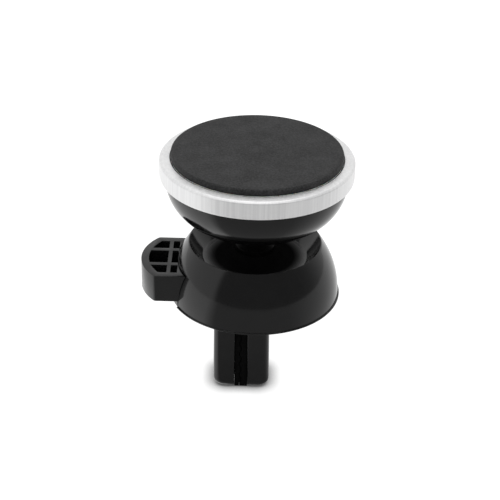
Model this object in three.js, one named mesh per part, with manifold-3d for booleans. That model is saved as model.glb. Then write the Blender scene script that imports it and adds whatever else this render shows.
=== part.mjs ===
// Magnetic phone mount for a car air vent, standing on the tips of its clip.
// Millimetres, +Z up. The origin is on the head's axis, at the level of the clip's tips, and the release
// tab points to -X. The clip's left jaw is part of the base plate, and its right jaw is the lower arm of
// the release lever. The head turns on a ball stud.
import * as THREE from "three";
import { mergeVertices } from "three/addons/utils/BufferGeometryUtils.js";
import Module from "manifold-3d";

const wasm = await Module();
wasm.setup();

// ---- Driving dimensions -------------------------------------------------------------------------------

const shellFacets = 36;
const ringFacets = 48;
const ballFacets = 24;
const boreFacets = 20;
const smallFacets = 12;

const contactGap = 0.05; // between stacked pieces that are glued or clamped together
const fitGap = 0.3; // round a piece that drops into another
const runGap = 0.12; // between the ball, its liners and their socket
const pinFit = 0.12; // radial, round the pivot pin
const screwHoleGap = 0.08; // radial, where a thread bites
const screwPassGap = 0.25; // radial, where a screw passes through
const overrun = 1; // of a cutter past the face that it opens, and of a joined piece into its neighbour

const clipLength = 22.4; // clip tip to the dome's rim
const clipDepth = 10.0;
const jawCornerRadius = 2.2;
const jawEdgeRadius = 1.6;
const fixedJawThickness = 4.6;
const movingJawThickness = 4.7;
const movingJawTop = 0.6; // above the rim
const jawGap = 2.5;
const jawLean = 0.4; // how much further out the moving jaw's tip is than its root
const jawGapCentre = -2.55;
const padTipClearance = 0.6;
const padTopClearance = 0.6; // below the base plate
const padFaceGap = 0.1; // between the meshed teeth of the two pads
const padTeeth = 8;
const padToothDepth = 0.35;
const toothFlank = 0.55;
const padInset = 0.4; // of a pad's ends from the jaw's front and back

const domeRimRadius = 17.9;
const domeLipProud = 0.3;
const domeLipHeight = 0.35;
const domeHeight = 12.0;
const domeMouthRadius = 13.9;
const domeWall = 1.6;
const bellTuck = 0.05; // the side curve's control point, in from the rim and above it
const bellHeight = 6.8;
const cavityRoof = 3.4; // the hollow's top, below the mouth
const deckThickness = 2.0;
const pedestalHeight = 2.0;
const pedestalRadius = 4.6;
const pedestalFootRadius = 6.0;

const ballRadius = 5.5;
const studHeight = 10.0; // pedestal to the ball's centre
const studFootRadius = 4.2;
const studFootThickness = 0.9;
const studFilletHeight = 0.9;
const studScrewRadius = 1.1;
const studScrewLength = 8.0;
const studScrewHeadRadius = 2.3;
const studScrewHeadHeight = 1.2;
const studScrewSpare = 0.5; // of the bore past the screw's end
const washerRadius = 2.7;
const washerThickness = 0.4;
const tiltEach = 22; // degrees of head tilt about each of two axes
const neckClearance = 0.16; // between the neck and the socket's edge at full tilt
const linerThickness = 0.6;
const lowerLinerFrom = -38; // degrees of latitude on the ball
const lowerLinerTo = -3;
const upperLinerFrom = 24;
const socketWall = 1.4;
const socketLipLatitude = 33.5; // of the socket's lower edge, below the ball's centre
const socketSplit = 0.3; // joint of the socket and its cap, above the ball's centre
const socketWellGap = 0.2;

const ringRadius = 20.0;
const ringFaceWidth = 1.85;
const ringShoulderInset = 0.5;
const ringFootInset = 0.1;
const ringHeight = 3.95;
const ringShoulderDrop = 0.4;
const ringSideDrop = 3.0;
const ringLipThickness = 0.8;
const ringLipSeat = 0.45; // how far the ring's lip reaches in over the spigot
const spigotWall = 1.5;
const spigotStep = 0.85; // between the bowl's top edge and the ring's foot seat

const bowlFootWidth = 1.86; // flat round the socket, at the bowl's bottom
const bowlBulgeInset = 0.6; // the side curve's control point, in from the bowl's top and above its bottom
const bowlBulgeHeight = 2.1;
const bowlWall = 1.6;
const bowlFlank = 1.4; // extra wall at the bulge
const bowlLedge = 1.0;
const bowlFloorWidth = 1.6;

const padThickness = 1.35;
const padRingGap = 0.25;
const padEdgeRadius = 0.35;
const adhesiveThickness = 0.15;
const adhesiveInset = 0.3;
const faceplateThickness = 0.85;
const faceplateGap = 0.1;
const magnetCount = 4;
const magnetEdge = 2.4; // carrier left outside a magnet
const magnetSpacing = 3.3;
const magnetThickness = 1.3;
const magnetGap = 0.1;
const yokeThickness = 0.7;
const capHeadroom = 0.31; // between the socket's cap and the yoke plate

const socketBossRadius = 1.6;
const socketScrewRadius = 0.8;
const socketScrewLength = 3.0;
const socketScrewDepth = 2.4;
const socketFlangeThickness = 1.1;
const screwHeadRadius = 1.45;
const screwHeadHeight = 0.8;

const plateThickness = 1.8;
const plateProud = 0.4; // how far the plate stands below the dome's rim
const baseScrewInset = 5.3; // of the screws' circle from the dome's rim
const baseScrewAngles = [0, 125, -125];
const baseBossRadius = 1.9;
const baseBossCover = 0.3; // below the deck's top
const baseScrewRadius = 0.8;
const baseScrewLength = 5.2;
const baseScrewHeadRadius = 1.7;
const baseScrewSink = 0.1;

const tabProud = 6.1; // of the dome's rim
const tabInside = 4.5;
const tabWidth = 16.4;
const tabBottom = 1.4; // above the rim
const tabTop = 7.45;
const tabEndRadius = 12.0;
const tabCornerRadius = 1.4;
const tabWall = 1.6;
const pocketCornerRadius = 0.3;
const tabFloor = 1.2;
const tabRib = 1.05;
const tabMiddlePocket = 5.0;
const tabRibFromEnd = 6.1;
const tabCrossRib = 0.8;
const tabSecondPocket = 1.4;
const slotGap = 0.35;
const slotRunIn = 2.0; // of the dome's slot past the tab's inner end
const skirtInset = 0.3; // how much thinner the skirt is than the dome's wall
const skirtLap = 0.6; // of the skirt into the tab

const armInset = 0.2; // of the arm's sides from the jaws' front and back
const armThickness = 2.3;
const armHeadroom = 0.6; // below the deck
const jawShelf = 0.8; // plate left between the fixed jaw and the arm's notch
const pivotOffset = 0.15; // of the pin from the moving jaw's middle
const pivotHeight = 4.05; // above the rim
const pivotBossWall = 1.0;
const pinRadius = 0.9;
const pinProud = 0.2;
const earThickness = 1.5;
const earGap = 0.6;
const earRim = 0.1; // how much wider an ear is than the boss
const earHeadroom = 0.35; // below the deck
const leverOpening = 9; // degrees of lever travel that the plate, dome and window leave room for
const springWire = 0.45;
const springCoilGap = 0.325; // between the pin and the coil
const springTurns = 3.25;
const springPitch = 0.62;
const springPocket = 3.3;
const springPocketCover = 0.4;
const springShortLeg = 3.4;
const springLongLeg = 2.6;

// ---- Places worked out from them ----------------------------------------------------------------------

const rim = clipLength;
const domeLipRadius = domeRimRadius + domeLipProud;
const mouthZ = rim + domeHeight;
const plateBottom = rim - plateProud;
const plateTop = plateBottom + plateThickness;
const plateRadius = domeRimRadius - domeWall - fitGap;
const baseScrewCircle = domeRimRadius - baseScrewInset;

const fixedJawInner = jawGapCentre - jawGap / 2;
const fixedJawOuter = fixedJawInner - fixedJawThickness;
const movingJawInner = jawGapCentre + jawGap / 2;
const movingJawOuter = movingJawInner + movingJawThickness;

const pivotX = (movingJawInner + movingJawOuter) / 2 + pivotOffset;
const pivotZ = rim + pivotHeight;
const pivotBossRadius = pinRadius + pivotBossWall;
const earHalfWidth = pivotBossRadius + earRim;
const springCoilRadius = pinRadius + springCoilGap + springWire / 2;
const armWidth = clipDepth - 2 * armInset;
const earInner = armWidth / 2 + earGap;
const earOuter = earInner + earThickness;
const swing = Math.sin(THREE.MathUtils.degToRad(leverOpening));

const deckUndersideZ = pivotZ + earHalfWidth + earHeadroom;
const deckTopZ = deckUndersideZ + deckThickness;
const armTop = deckUndersideZ - armHeadroom;
const armBottom = armTop - armThickness;
const pedestalTop = deckTopZ + pedestalHeight;
const tabReach = domeRimRadius + tabProud;
const tabInnerEnd = domeRimRadius - tabInside;

const ballZ = pedestalTop + studHeight;
const dishRadius = Math.hypot(domeMouthRadius, ballZ - mouthZ);
const socketInner = ballRadius + runGap + linerThickness + runGap;
const socketOuter = socketInner + socketWall;
const splitZ = ballZ + socketSplit;
const fullTilt = Math.acos(Math.cos(THREE.MathUtils.degToRad(tiltEach)) ** 2);
const lipAngle = THREE.MathUtils.degToRad(socketLipLatitude);
const neckRadius = socketInner * Math.cos(lipAngle + fullTilt) - neckClearance;

const ringInnerRadius = ringRadius - ringFaceWidth;
const ringFootRadius = ringRadius - ringFootInset;
const padRadius = ringInnerRadius - padRingGap;
const spigotRadius = ringInnerRadius + ringLipSeat;
const spigotBore = spigotRadius - spigotWall;
const carrierRadius = spigotBore - fitGap;

// The head's stack, from the socket's cap up to the pad's face.
const yokeBottom = ballZ + socketOuter + capHeadroom;
const yokeTop = yokeBottom + yokeThickness;
const magnetTop = yokeTop + contactGap + magnetThickness;
const spigotTop = magnetTop + contactGap;
const faceplateTop = spigotTop + faceplateThickness;
const ringTopZ = faceplateTop + adhesiveThickness;
const ringBottomZ = ringTopZ - ringHeight;
const padTop = ringTopZ + padThickness;

// Magnets as large as their carrier has room for, side by side on a circle.
const halfPitchSine = Math.sin(Math.PI / magnetCount);
const magnetPitchRadius = (carrierRadius - magnetEdge + magnetSpacing / 2) / (1 + halfPitchSine);
const magnetRadius = carrierRadius - magnetEdge - magnetPitchRadius;

// ---- Helpers ------------------------------------------------------------------------------------------

const radians = THREE.MathUtils.degToRad;
const degrees = THREE.MathUtils.radToDeg;

function finish(color, roughness, metalness = 0) {
  return new THREE.MeshStandardMaterial({ color, roughness, metalness });
}

const glossBlack = () => finish(0x0b0b0c, 0.18);
const satinBlack = () => finish(0x161617, 0.45);
const rubber = () => finish(0x2b2b2c, 0.85);
const aluminium = () => finish(0xd6d7d9, 0.3, 1);
const steel = () => finish(0xa8aaad, 0.35, 1);
const nylon = () => finish(0xd9d6cc, 0.6);
const foam = () => finish(0xe8e6df, 0.8);
const nickel = () => finish(0xb9bbbf, 0.22, 1);

const root = new THREE.Group();

function solidOf(geometry) {
  const bare = geometry.index ? geometry.toNonIndexed() : geometry.clone();
  for (const name of Object.keys(bare.attributes)) if (name !== "position") bare.deleteAttribute(name);
  const merged = mergeVertices(bare, 1e-4);
  const corners = merged.index.array;
  const kept = [];
  for (let i = 0; i < corners.length; i += 3) {
    const [a, b, c] = [corners[i], corners[i + 1], corners[i + 2]];
    if (a !== b && b !== c && c !== a) kept.push(a, b, c);
  }
  const vertProperties = merged.attributes.position.array;
  const triVerts = new Uint32Array(kept);
  return new wasm.Manifold(new wasm.Mesh({ numProp: 3, vertProperties, triVerts }));
}

function geometryOf(solid) {
  const mesh = solid.getMesh();
  const geometry = new THREE.BufferGeometry();
  geometry.setAttribute("position", new THREE.BufferAttribute(new Float32Array(mesh.vertProperties), 3));
  geometry.setIndex(new THREE.BufferAttribute(new Uint32Array(mesh.triVerts), 1));
  geometry.computeVertexNormals();
  return geometry;
}

function addPart(name, solid, material) {
  const mesh = new THREE.Mesh(geometryOf(solid), material);
  mesh.name = name;
  root.add(mesh);
}

// A profile of [radius, height] points, turned about Z. It runs from axis to axis, or closes on itself.
function turned(profile, facets) {
  const points = profile.map(([r, z]) => new THREE.Vector2(r, z));
  let area = 0;
  points.forEach((p, i) => {
    const q = points[(i + 1) % points.length];
    area += p.x * q.y - q.x * p.y;
  });
  if (area < 0) points.reverse();
  const closes = points[0].x > 0 || points[points.length - 1].x > 0;
  if (closes) points.push(points[0].clone());
  return solidOf(new THREE.LatheGeometry(points, facets).rotateX(Math.PI / 2));
}

function disc(radius, bottom, top, facets, x = 0, y = 0) {
  return turned([[0, bottom], [radius, bottom], [radius, top], [0, top]], facets).translate([x, y, 0]);
}

function ring(inner, outer, bottom, top, facets) {
  return turned([[inner, bottom], [outer, bottom], [outer, top], [inner, top]], facets);
}

function box(x0, x1, y0, y1, z0, z1) {
  const geometry = new THREE.BoxGeometry(x1 - x0, y1 - y0, z1 - z0);
  return solidOf(geometry.translate((x0 + x1) / 2, (y0 + y1) / 2, (z0 + z1) / 2));
}

// A round bar along Y through (x, z).
function barAlongY(radius, x, z, y0, y1, facets = smallFacets) {
  const bar = new THREE.CylinderGeometry(radius, radius, y1 - y0, facets);
  return solidOf(bar.translate(x, (y0 + y1) / 2, z));
}

// A plan outline, extruded upwards.
function raised(shape, bottom, top, curveSegments = 8) {
  const options = { depth: top - bottom, bevelEnabled: false, curveSegments };
  return solidOf(new THREE.ExtrudeGeometry(shape, options).translate(0, 0, bottom));
}

// An outline in the XZ plane, extruded along Y.
function extrudedAlongY(shape, y0, y1, curveSegments = 6) {
  const options = { depth: y1 - y0, bevelEnabled: false, curveSegments };
  return solidOf(new THREE.ExtrudeGeometry(shape, options).rotateX(Math.PI / 2).translate(0, y1, 0));
}

function curvePoints(from, control, to, pieces) {
  const corners = [from, control, to].map(([r, z]) => new THREE.Vector2(r, z));
  return new THREE.QuadraticBezierCurve(...corners).getPoints(pieces).map((p) => [p.x, p.y]);
}

// Points of a sphere about the ball's centre, between two latitudes in degrees.
function ballArc(radius, fromLatitude, toLatitude, pieces) {
  return Array.from({ length: pieces + 1 }, (_, i) => {
    const latitude = radians(fromLatitude + ((toLatitude - fromLatitude) * i) / pieces);
    return [radius * Math.cos(latitude), ballZ + radius * Math.sin(latitude)];
  });
}

const latitudeAtRadius = (radius, sphere) => -degrees(Math.acos(radius / sphere));
const latitudeAtHeight = (z, sphere) => degrees(Math.asin((z - ballZ) / sphere));

function atAngle(circle, angle) {
  return [circle * Math.cos(radians(angle)), circle * Math.sin(radians(angle))];
}

// The radius at which a line of [radius, height] points passes a height.
function radiusAtHeight(points, z) {
  const i = points.findIndex(([, height], k) => k > 0 && (height - z) * (points[k - 1][1] - z) <= 0);
  const [[r0, z0], [r1, z1]] = [points[i - 1], points[i]];
  return r0 + ((r1 - r0) * (z - z0)) / (z1 - z0);
}

// A pan-head screw along Z: its head's bearing face is at z = 0, its shank runs up and the head down.
function panScrew(radius, length, headRadius, headHeight) {
  const crown = headRadius * 0.8;
  const brim = headHeight * 0.6;
  const body = turned(
    [[0, -headHeight], [crown, -headHeight], [headRadius, -brim], [headRadius, 0],
      [radius, 0], [radius, length - radius], [radius * 0.4, length], [0, length]],
    smallFacets,
  );
  const reach = headRadius * 0.55;
  const half = headRadius * 0.13;
  const floor = -headHeight / 2;
  return body
    .subtract(box(-reach, reach, -half, half, -headHeight - overrun, floor))
    .subtract(box(-half, half, -reach, reach, -headHeight - overrun, floor));
}

// ---- Dome housing: bell with a spherical dish, a deck and three screw bosses --------------------------

{
  const bell = curvePoints(
    [domeRimRadius, rim + domeLipHeight],
    [domeRimRadius - bellTuck, rim + bellHeight],
    [domeMouthRadius, mouthZ],
    6,
  );
  const mouthLatitude = latitudeAtRadius(domeMouthRadius, dishRadius);
  const dish = ballArc(dishRadius, mouthLatitude, latitudeAtHeight(deckTopZ, dishRadius), 3);
  let dome = turned(
    [[0, rim], [domeLipRadius, rim], [domeLipRadius, rim + domeLipHeight], ...bell, ...dish.slice(1),
      [pedestalFootRadius, deckTopZ], [pedestalRadius, pedestalTop], [0, pedestalTop]],
    shellFacets,
  );

  // The hollow is the bell drawn in by its wall, less the deck and the shell that carries the dish.
  const shellRadius = dishRadius + domeWall;
  const shell = ballArc(shellRadius, latitudeAtHeight(deckUndersideZ, shellRadius), mouthLatitude, 3);
  const shellTop = shell[shell.length - 1][1];
  const carrier = turned([[0, deckUndersideZ], ...shell, [0, shellTop]], shellFacets);
  const innerRadius = domeRimRadius - domeWall;
  const innerBell = bell.map(([r, z]) => [r - domeWall, z]);
  const hollow = turned(
    [[0, rim - overrun], [innerRadius, rim - overrun], ...innerBell, [0, mouthZ]],
    shellFacets,
  );
  const belowRoof = disc(domeLipRadius, rim - 2 * overrun, mouthZ - cavityRoof, smallFacets);
  dome = dome.subtract(hollow.intersect(belowRoof).subtract(carrier));

  for (const angle of baseScrewAngles) {
    const [x, y] = atAngle(baseScrewCircle, angle);
    const bossTop = deckTopZ - baseBossCover;
    dome = dome.add(disc(baseBossRadius, plateTop + contactGap, bossTop, smallFacets, x, y));
  }
  for (const angle of baseScrewAngles) {
    const [x, y] = atAngle(baseScrewCircle, angle);
    const holeTop = plateTop + baseScrewLength;
    const holeRadius = baseScrewRadius + screwHoleGap;
    dome = dome.subtract(disc(holeRadius, plateTop - overrun, holeTop, smallFacets, x, y));
  }
  const recessTop = deckUndersideZ + studScrewHeadHeight + washerThickness;
  const slotHalf = tabWidth / 2 + slotGap;
  const slotEnd = -tabInnerEnd + slotRunIn;
  dome = dome
    .subtract(disc(washerRadius + fitGap, rim, recessTop, smallFacets))
    .subtract(disc(studScrewRadius + screwHoleGap, rim, pedestalTop + overrun, smallFacets))
    .subtract(box(-tabReach, slotEnd, -slotHalf, slotHalf, rim - overrun, rim + tabTop + slotGap));
  addPart("dome_housing", dome, glossBlack());
}

// ---- Ball stud, clamped to the dome's pedestal by a screw from below ----------------------------------

{
  const foot = pedestalTop + contactGap;
  const footTop = foot + studFootThickness;
  const washerTop = deckUndersideZ + studScrewHeadHeight + washerThickness - contactGap;
  const washerBottom = washerTop - washerThickness;
  const outline = [
    [0, foot], [studFootRadius, foot], [studFootRadius, footTop], [neckRadius, footTop + studFilletHeight],
    ...ballArc(ballRadius, latitudeAtRadius(neckRadius, ballRadius), 90, 9),
  ];
  outline[outline.length - 1][0] = 0;
  const boreTop = washerTop + studScrewLength + studScrewSpare;
  const bore = disc(studScrewRadius + screwHoleGap, foot - overrun, boreTop, smallFacets);
  addPart("ball_stud", turned(outline, ballFacets).subtract(bore), finish(0x9a9c9f, 0.25, 1));
  const washerBore = studScrewRadius + screwPassGap;
  addPart("stud_washer", ring(washerBore, washerRadius, washerBottom, washerTop, smallFacets), steel());
  const screw = panScrew(studScrewRadius, studScrewLength, studScrewHeadRadius, studScrewHeadHeight);
  addPart("stud_screw", screw.translate([0, 0, washerBottom - contactGap]), steel());
}

// ---- Base plate with the fixed jaw and the pivot ears -------------------------------------------------

// A jaw seen from the front: its outer lower corner is round, and its tip leans out from its root.
function jawOutline(inner, outer, lean, top) {
  const side = Math.sign(outer - inner);
  const shape = new THREE.Shape();
  shape.moveTo(inner, top);
  shape.lineTo(inner + lean, 0);
  shape.lineTo(outer + lean - side * jawCornerRadius, 0);
  shape.quadraticCurveTo(outer + lean, 0, outer + lean, jawCornerRadius);
  shape.lineTo(outer, top);
  shape.closePath();
  return shape;
}

// A plan outline whose two outer corners are round, to trim a jaw's vertical edges.
function jawPlan(inner, outer) {
  const side = Math.sign(outer - inner);
  const half = clipDepth / 2;
  const shape = new THREE.Shape();
  shape.moveTo(inner, -half);
  shape.lineTo(outer - side * jawEdgeRadius, -half);
  shape.quadraticCurveTo(outer, -half, outer, -half + jawEdgeRadius);
  shape.lineTo(outer, half - jawEdgeRadius);
  shape.quadraticCurveTo(outer, half, outer - side * jawEdgeRadius, half);
  shape.lineTo(inner, half);
  shape.closePath();
  return shape;
}

function jaw(inner, outer, lean, top) {
  const column = extrudedAlongY(jawOutline(inner, outer, lean, top), -clipDepth / 2, clipDepth / 2);
  return column.intersect(raised(jawPlan(inner, outer + lean), -overrun, top + overrun));
}

{
  const below = plateBottom - overrun;
  const above = plateTop + overrun;
  const edge = -plateRadius - overrun;
  // Room for the lever's arm, and for the tab and skirt, which swing in as they go down.
  const armHalf = armWidth / 2 + slotGap;
  const tabHalf = tabWidth / 2 + slotGap;
  const armNotchEnd = fixedJawOuter - jawShelf;
  const tabNotchEnd = -tabInnerEnd + (pivotHeight - tabBottom) * swing + slotGap;
  // The window that the moving jaw passes through.
  const windowFrom = movingJawInner - fitGap;
  const windowTo = movingJawOuter + (pivotHeight + plateProud) * swing + fitGap;
  const windowHalf = clipDepth / 2 + fitGap;
  let plate = disc(plateRadius, plateBottom, plateTop, shellFacets)
    .subtract(box(edge, armNotchEnd, -armHalf, armHalf, below, above))
    .subtract(box(edge, tabNotchEnd, -tabHalf, tabHalf, below, above))
    .subtract(box(windowFrom, windowTo, -windowHalf, windowHalf, below, above))
    .add(jaw(fixedJawInner, fixedJawOuter, 0, plateTop));
  for (const side of [-1, 1]) {
    const [y0, y1] = [side * earInner, side * earOuter].sort((a, b) => a - b);
    const earFoot = plateTop - overrun / 2;
    plate = plate
      .add(box(pivotX - earHalfWidth, pivotX + earHalfWidth, y0, y1, earFoot, pivotZ))
      .add(barAlongY(earHalfWidth, pivotX, pivotZ, y0, y1));
  }
  plate = plate.subtract(barAlongY(pinRadius + pinFit / 2, pivotX, pivotZ, -clipDepth, clipDepth));
  const sinkTop = plateBottom + screwHeadHeight + baseScrewSink;
  for (const angle of baseScrewAngles) {
    const [x, y] = atAngle(baseScrewCircle, angle);
    plate = plate
      .subtract(disc(baseScrewRadius + screwPassGap, below, above, smallFacets, x, y))
      .subtract(disc(baseScrewHeadRadius + screwPassGap, below, sinkTop, smallFacets, x, y));
  }
  addPart("base_plate", plate, glossBlack());

  baseScrewAngles.forEach((angle, i) => {
    const [x, y] = atAngle(baseScrewCircle, angle);
    const screw = panScrew(baseScrewRadius, baseScrewLength, baseScrewHeadRadius, screwHeadHeight);
    addPart(`base_screw_${i + 1}`, screw.translate([x, y, sinkTop - contactGap]), steel());
  });
}

const pinEnd = earOuter + pinProud;
addPart("jaw_pivot_pin", barAlongY(pinRadius, pivotX, pivotZ, -pinEnd, pinEnd), steel());

// ---- Release lever: tab, skirt, arm, pivot boss and moving jaw in one moulding ------------------------

// The tab's plan, drawn in from its edge: straight sides, an arc for the outer end and round corners.
function tabPlan(inset) {
  const half = tabWidth / 2 - inset;
  const radius = tabEndRadius - inset;
  const centre = -tabReach + tabEndRadius;
  const cornerX = centre - Math.sqrt(radius ** 2 - half ** 2);
  const bend = Math.max(tabCornerRadius - inset, pocketCornerRadius);
  const arcHalf = half - bend;
  const arcX = centre - Math.sqrt(radius ** 2 - arcHalf ** 2);
  const span = Math.asin(arcHalf / radius);
  const shape = new THREE.Shape();
  shape.moveTo(-tabInnerEnd, -half);
  shape.lineTo(-tabInnerEnd, half);
  shape.lineTo(cornerX + bend, half);
  shape.quadraticCurveTo(cornerX, half, arcX, arcHalf);
  shape.absarc(centre, 0, radius, Math.PI - span, Math.PI + span, false);
  shape.quadraticCurveTo(cornerX, -half, cornerX + bend, -half);
  shape.closePath();
  return shape;
}

{
  const bottom = rim + tabBottom;
  const top = rim + tabTop;
  let lever = raised(tabPlan(0), bottom, top);

  // Six pockets between one rib across the tab and two along it.
  const crossRibX = -tabReach + tabRibFromEnd;
  const secondColumn = crossRibX + tabCrossRib / 2;
  const columns = [[-tabReach, crossRibX - tabCrossRib / 2], [secondColumn, secondColumn + tabSecondPocket]];
  const middle = tabMiddlePocket / 2;
  const rows = [[-tabWidth, -middle - tabRib], [-middle, middle], [middle + tabRib, tabWidth]];
  const pocketSpace = raised(tabPlan(tabWall), bottom + tabFloor, top + overrun);
  for (const [x0, x1] of columns)
    for (const [y0, y1] of rows)
      lever = lever.subtract(pocketSpace.intersect(box(x0, x1, y0, y1, bottom, top + overrun)));

  // The skirt closes the dome's slot below the tab.
  const skirtInner = domeRimRadius - domeWall + skirtInset;
  const skirt = ring(skirtInner, domeRimRadius, rim, bottom + skirtLap, shellFacets)
    .intersect(box(-tabReach, -tabInnerEnd, -tabWidth / 2, tabWidth / 2, rim - overrun, top));

  const armHalf = armWidth / 2;
  const arm = box(-tabInnerEnd - overrun, pivotX, -armHalf, armHalf, armBottom, armTop);
  const boss = barAlongY(pivotBossRadius, pivotX, pivotZ, -armHalf, armHalf, boreFacets);
  const jawTop = rim + movingJawTop;
  const [shankFrom, shankTo] = [pivotX - pivotBossRadius, pivotX + pivotBossRadius];
  const shank = box(shankFrom, shankTo, -armHalf, armHalf, jawTop - overrun / 2, pivotZ);
  lever = lever
    .add(skirt)
    .add(arm)
    .add(boss)
    .add(shank)
    .add(jaw(movingJawInner, movingJawOuter, jawLean, jawTop));

  const pocketFrom = armHalf - springPocketCover - springPocket;
  const room = springCoilRadius + springWire + springPocketCover;
  const pocket = box(pivotX - room, movingJawOuter + room, pocketFrom, clipDepth, pivotZ - room, mouthZ);
  const bore = barAlongY(pinRadius + pinFit, pivotX, pivotZ, -clipDepth, clipDepth, boreFacets);
  addPart("release_lever", lever.subtract(bore).subtract(pocket), glossBlack());

  // The torsion spring round the pin: one leg lifts the arm, the other bears on the deck.
  const y0 = pocketFrom + springWire / 2;
  const stepsPerTurn = 12;
  const steps = Math.round(springTurns * stepsPerTurn);
  const points = [new THREE.Vector3(pivotX - springShortLeg, y0, pivotZ - springCoilRadius)];
  for (let i = 0; i <= steps; i += 1) {
    const angle = -Math.PI / 2 + (2 * Math.PI * i) / stepsPerTurn;
    const x = pivotX + springCoilRadius * Math.cos(angle);
    const z = pivotZ + springCoilRadius * Math.sin(angle);
    points.push(new THREE.Vector3(x, y0 + (springPitch * i) / stepsPerTurn, z));
  }
  const yEnd = y0 + springPitch * springTurns;
  const legX = pivotX + springCoilRadius;
  const legZ = deckUndersideZ - springWire / 2 - fitGap;
  points.push(new THREE.Vector3(legX + springWire, yEnd, legZ - springWire / 2));
  points.push(new THREE.Vector3(legX + 2 * springWire, yEnd, legZ));
  points.push(new THREE.Vector3(legX + springLongLeg, yEnd, legZ));
  const section = new THREE.Shape().absarc(0, 0, springWire / 2, 0, 2 * Math.PI);
  const extrudePath = new THREE.CatmullRomCurve3(points, false, "centripetal");
  const options = { steps: 64, curveSegments: 3, bevelEnabled: false, extrudePath };
  addPart("torsion_spring", solidOf(new THREE.ExtrudeGeometry(section, options)), steel());
}

// ---- Rubber grip pads on the two jaws, whose teeth run along Y and mesh when the clip is shut ---------

{
  const half = clipDepth / 2 - padInset;
  const bottom = padTipClearance;
  const top = plateBottom - padTopClearance;
  const pitch = (top - bottom) / padTeeth;
  const flat = (pitch - 2 * toothFlank) / 2;
  // The gripping face from the bottom up: a flat, a flank out to the next flat, and a flank back.
  const toothedFace = (x) => Array.from({ length: padTeeth }, (_, i) => bottom + pitch * i).flatMap((z) => [
    [x, z],
    [x, z + flat],
    [x + padToothDepth, z + flat + toothFlank],
    [x + padToothDepth, z + pitch - toothFlank],
  ]);
  const gripPad = (back, lean, face) => {
    const leanAt = (z) => lean * (1 - z / (rim + movingJawTop));
    const shape = new THREE.Shape();
    shape.moveTo(back + leanAt(bottom), bottom);
    toothedFace(face).forEach(([x, z]) => shape.lineTo(x, z));
    shape.lineTo(face, top);
    shape.lineTo(back + leanAt(top), top);
    shape.closePath();
    return extrudedAlongY(shape, -half, half);
  };
  const fixedFace = jawGapCentre - padToothDepth / 2 - padFaceGap / 2;
  const movingFace = fixedFace + padFaceGap;
  addPart("fixed_jaw_pad", gripPad(fixedJawInner + contactGap, 0, fixedFace), rubber());
  addPart("moving_jaw_pad", gripPad(movingJawInner - contactGap, jawLean, movingFace), rubber());
}

// ---- Head: bowl with the lower half of the ball socket ------------------------------------------------

const bossAngles = [90, 210, 330];
const lipZ = ballZ - socketInner * Math.sin(lipAngle);
const bowlTopRadius = ringFootRadius - spigotStep - contactGap;
const bulgeRadius = bowlTopRadius - bowlBulgeInset;
const bulgeZ = lipZ + bowlBulgeHeight;
const bowlFloorZ = lipZ + bowlWall;
const ledgeZ = yokeBottom - contactGap;
const bowlInside = curvePoints(
  [spigotBore - bowlLedge, ledgeZ],
  [bulgeRadius - bowlWall - bowlFlank, bulgeZ + bowlWall / 2],
  [socketOuter + bowlFloorWidth, bowlFloorZ],
  5,
);
const socketScrewCircle = (socketOuter + radiusAtHeight(bowlInside, splitZ)) / 2;

{
  const side = curvePoints(
    [socketOuter + bowlFootWidth, lipZ],
    [bulgeRadius, bulgeZ],
    [bowlTopRadius, ringBottomZ],
    6,
  );
  const wellRadius = socketOuter + socketWellGap;
  const spigotRim = spigotTop - contactGap;
  const outline = [
    ...side, [spigotRadius, ringBottomZ], [spigotRadius, spigotRim], [spigotBore, spigotRim],
    [spigotBore, ledgeZ], ...bowlInside, [wellRadius, bowlFloorZ], [wellRadius, splitZ],
    ...ballArc(socketInner, latitudeAtHeight(splitZ, socketInner), -socketLipLatitude, 5),
  ];
  let bowl = turned(outline, shellFacets);
  const bossBottom = bowlFloorZ - bowlWall / 4;
  const holeRadius = socketScrewRadius + screwHoleGap;
  for (const angle of bossAngles) {
    const [x, y] = atAngle(socketScrewCircle, angle);
    bowl = bowl
      .add(disc(socketBossRadius, bossBottom, splitZ, smallFacets, x, y))
      .subtract(disc(holeRadius, splitZ - socketScrewDepth, splitZ + overrun, smallFacets, x, y));
  }
  addPart("head_shell", bowl, glossBlack());
}

// ---- Socket cap, its screws and the two ball liners ---------------------------------------------------

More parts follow.
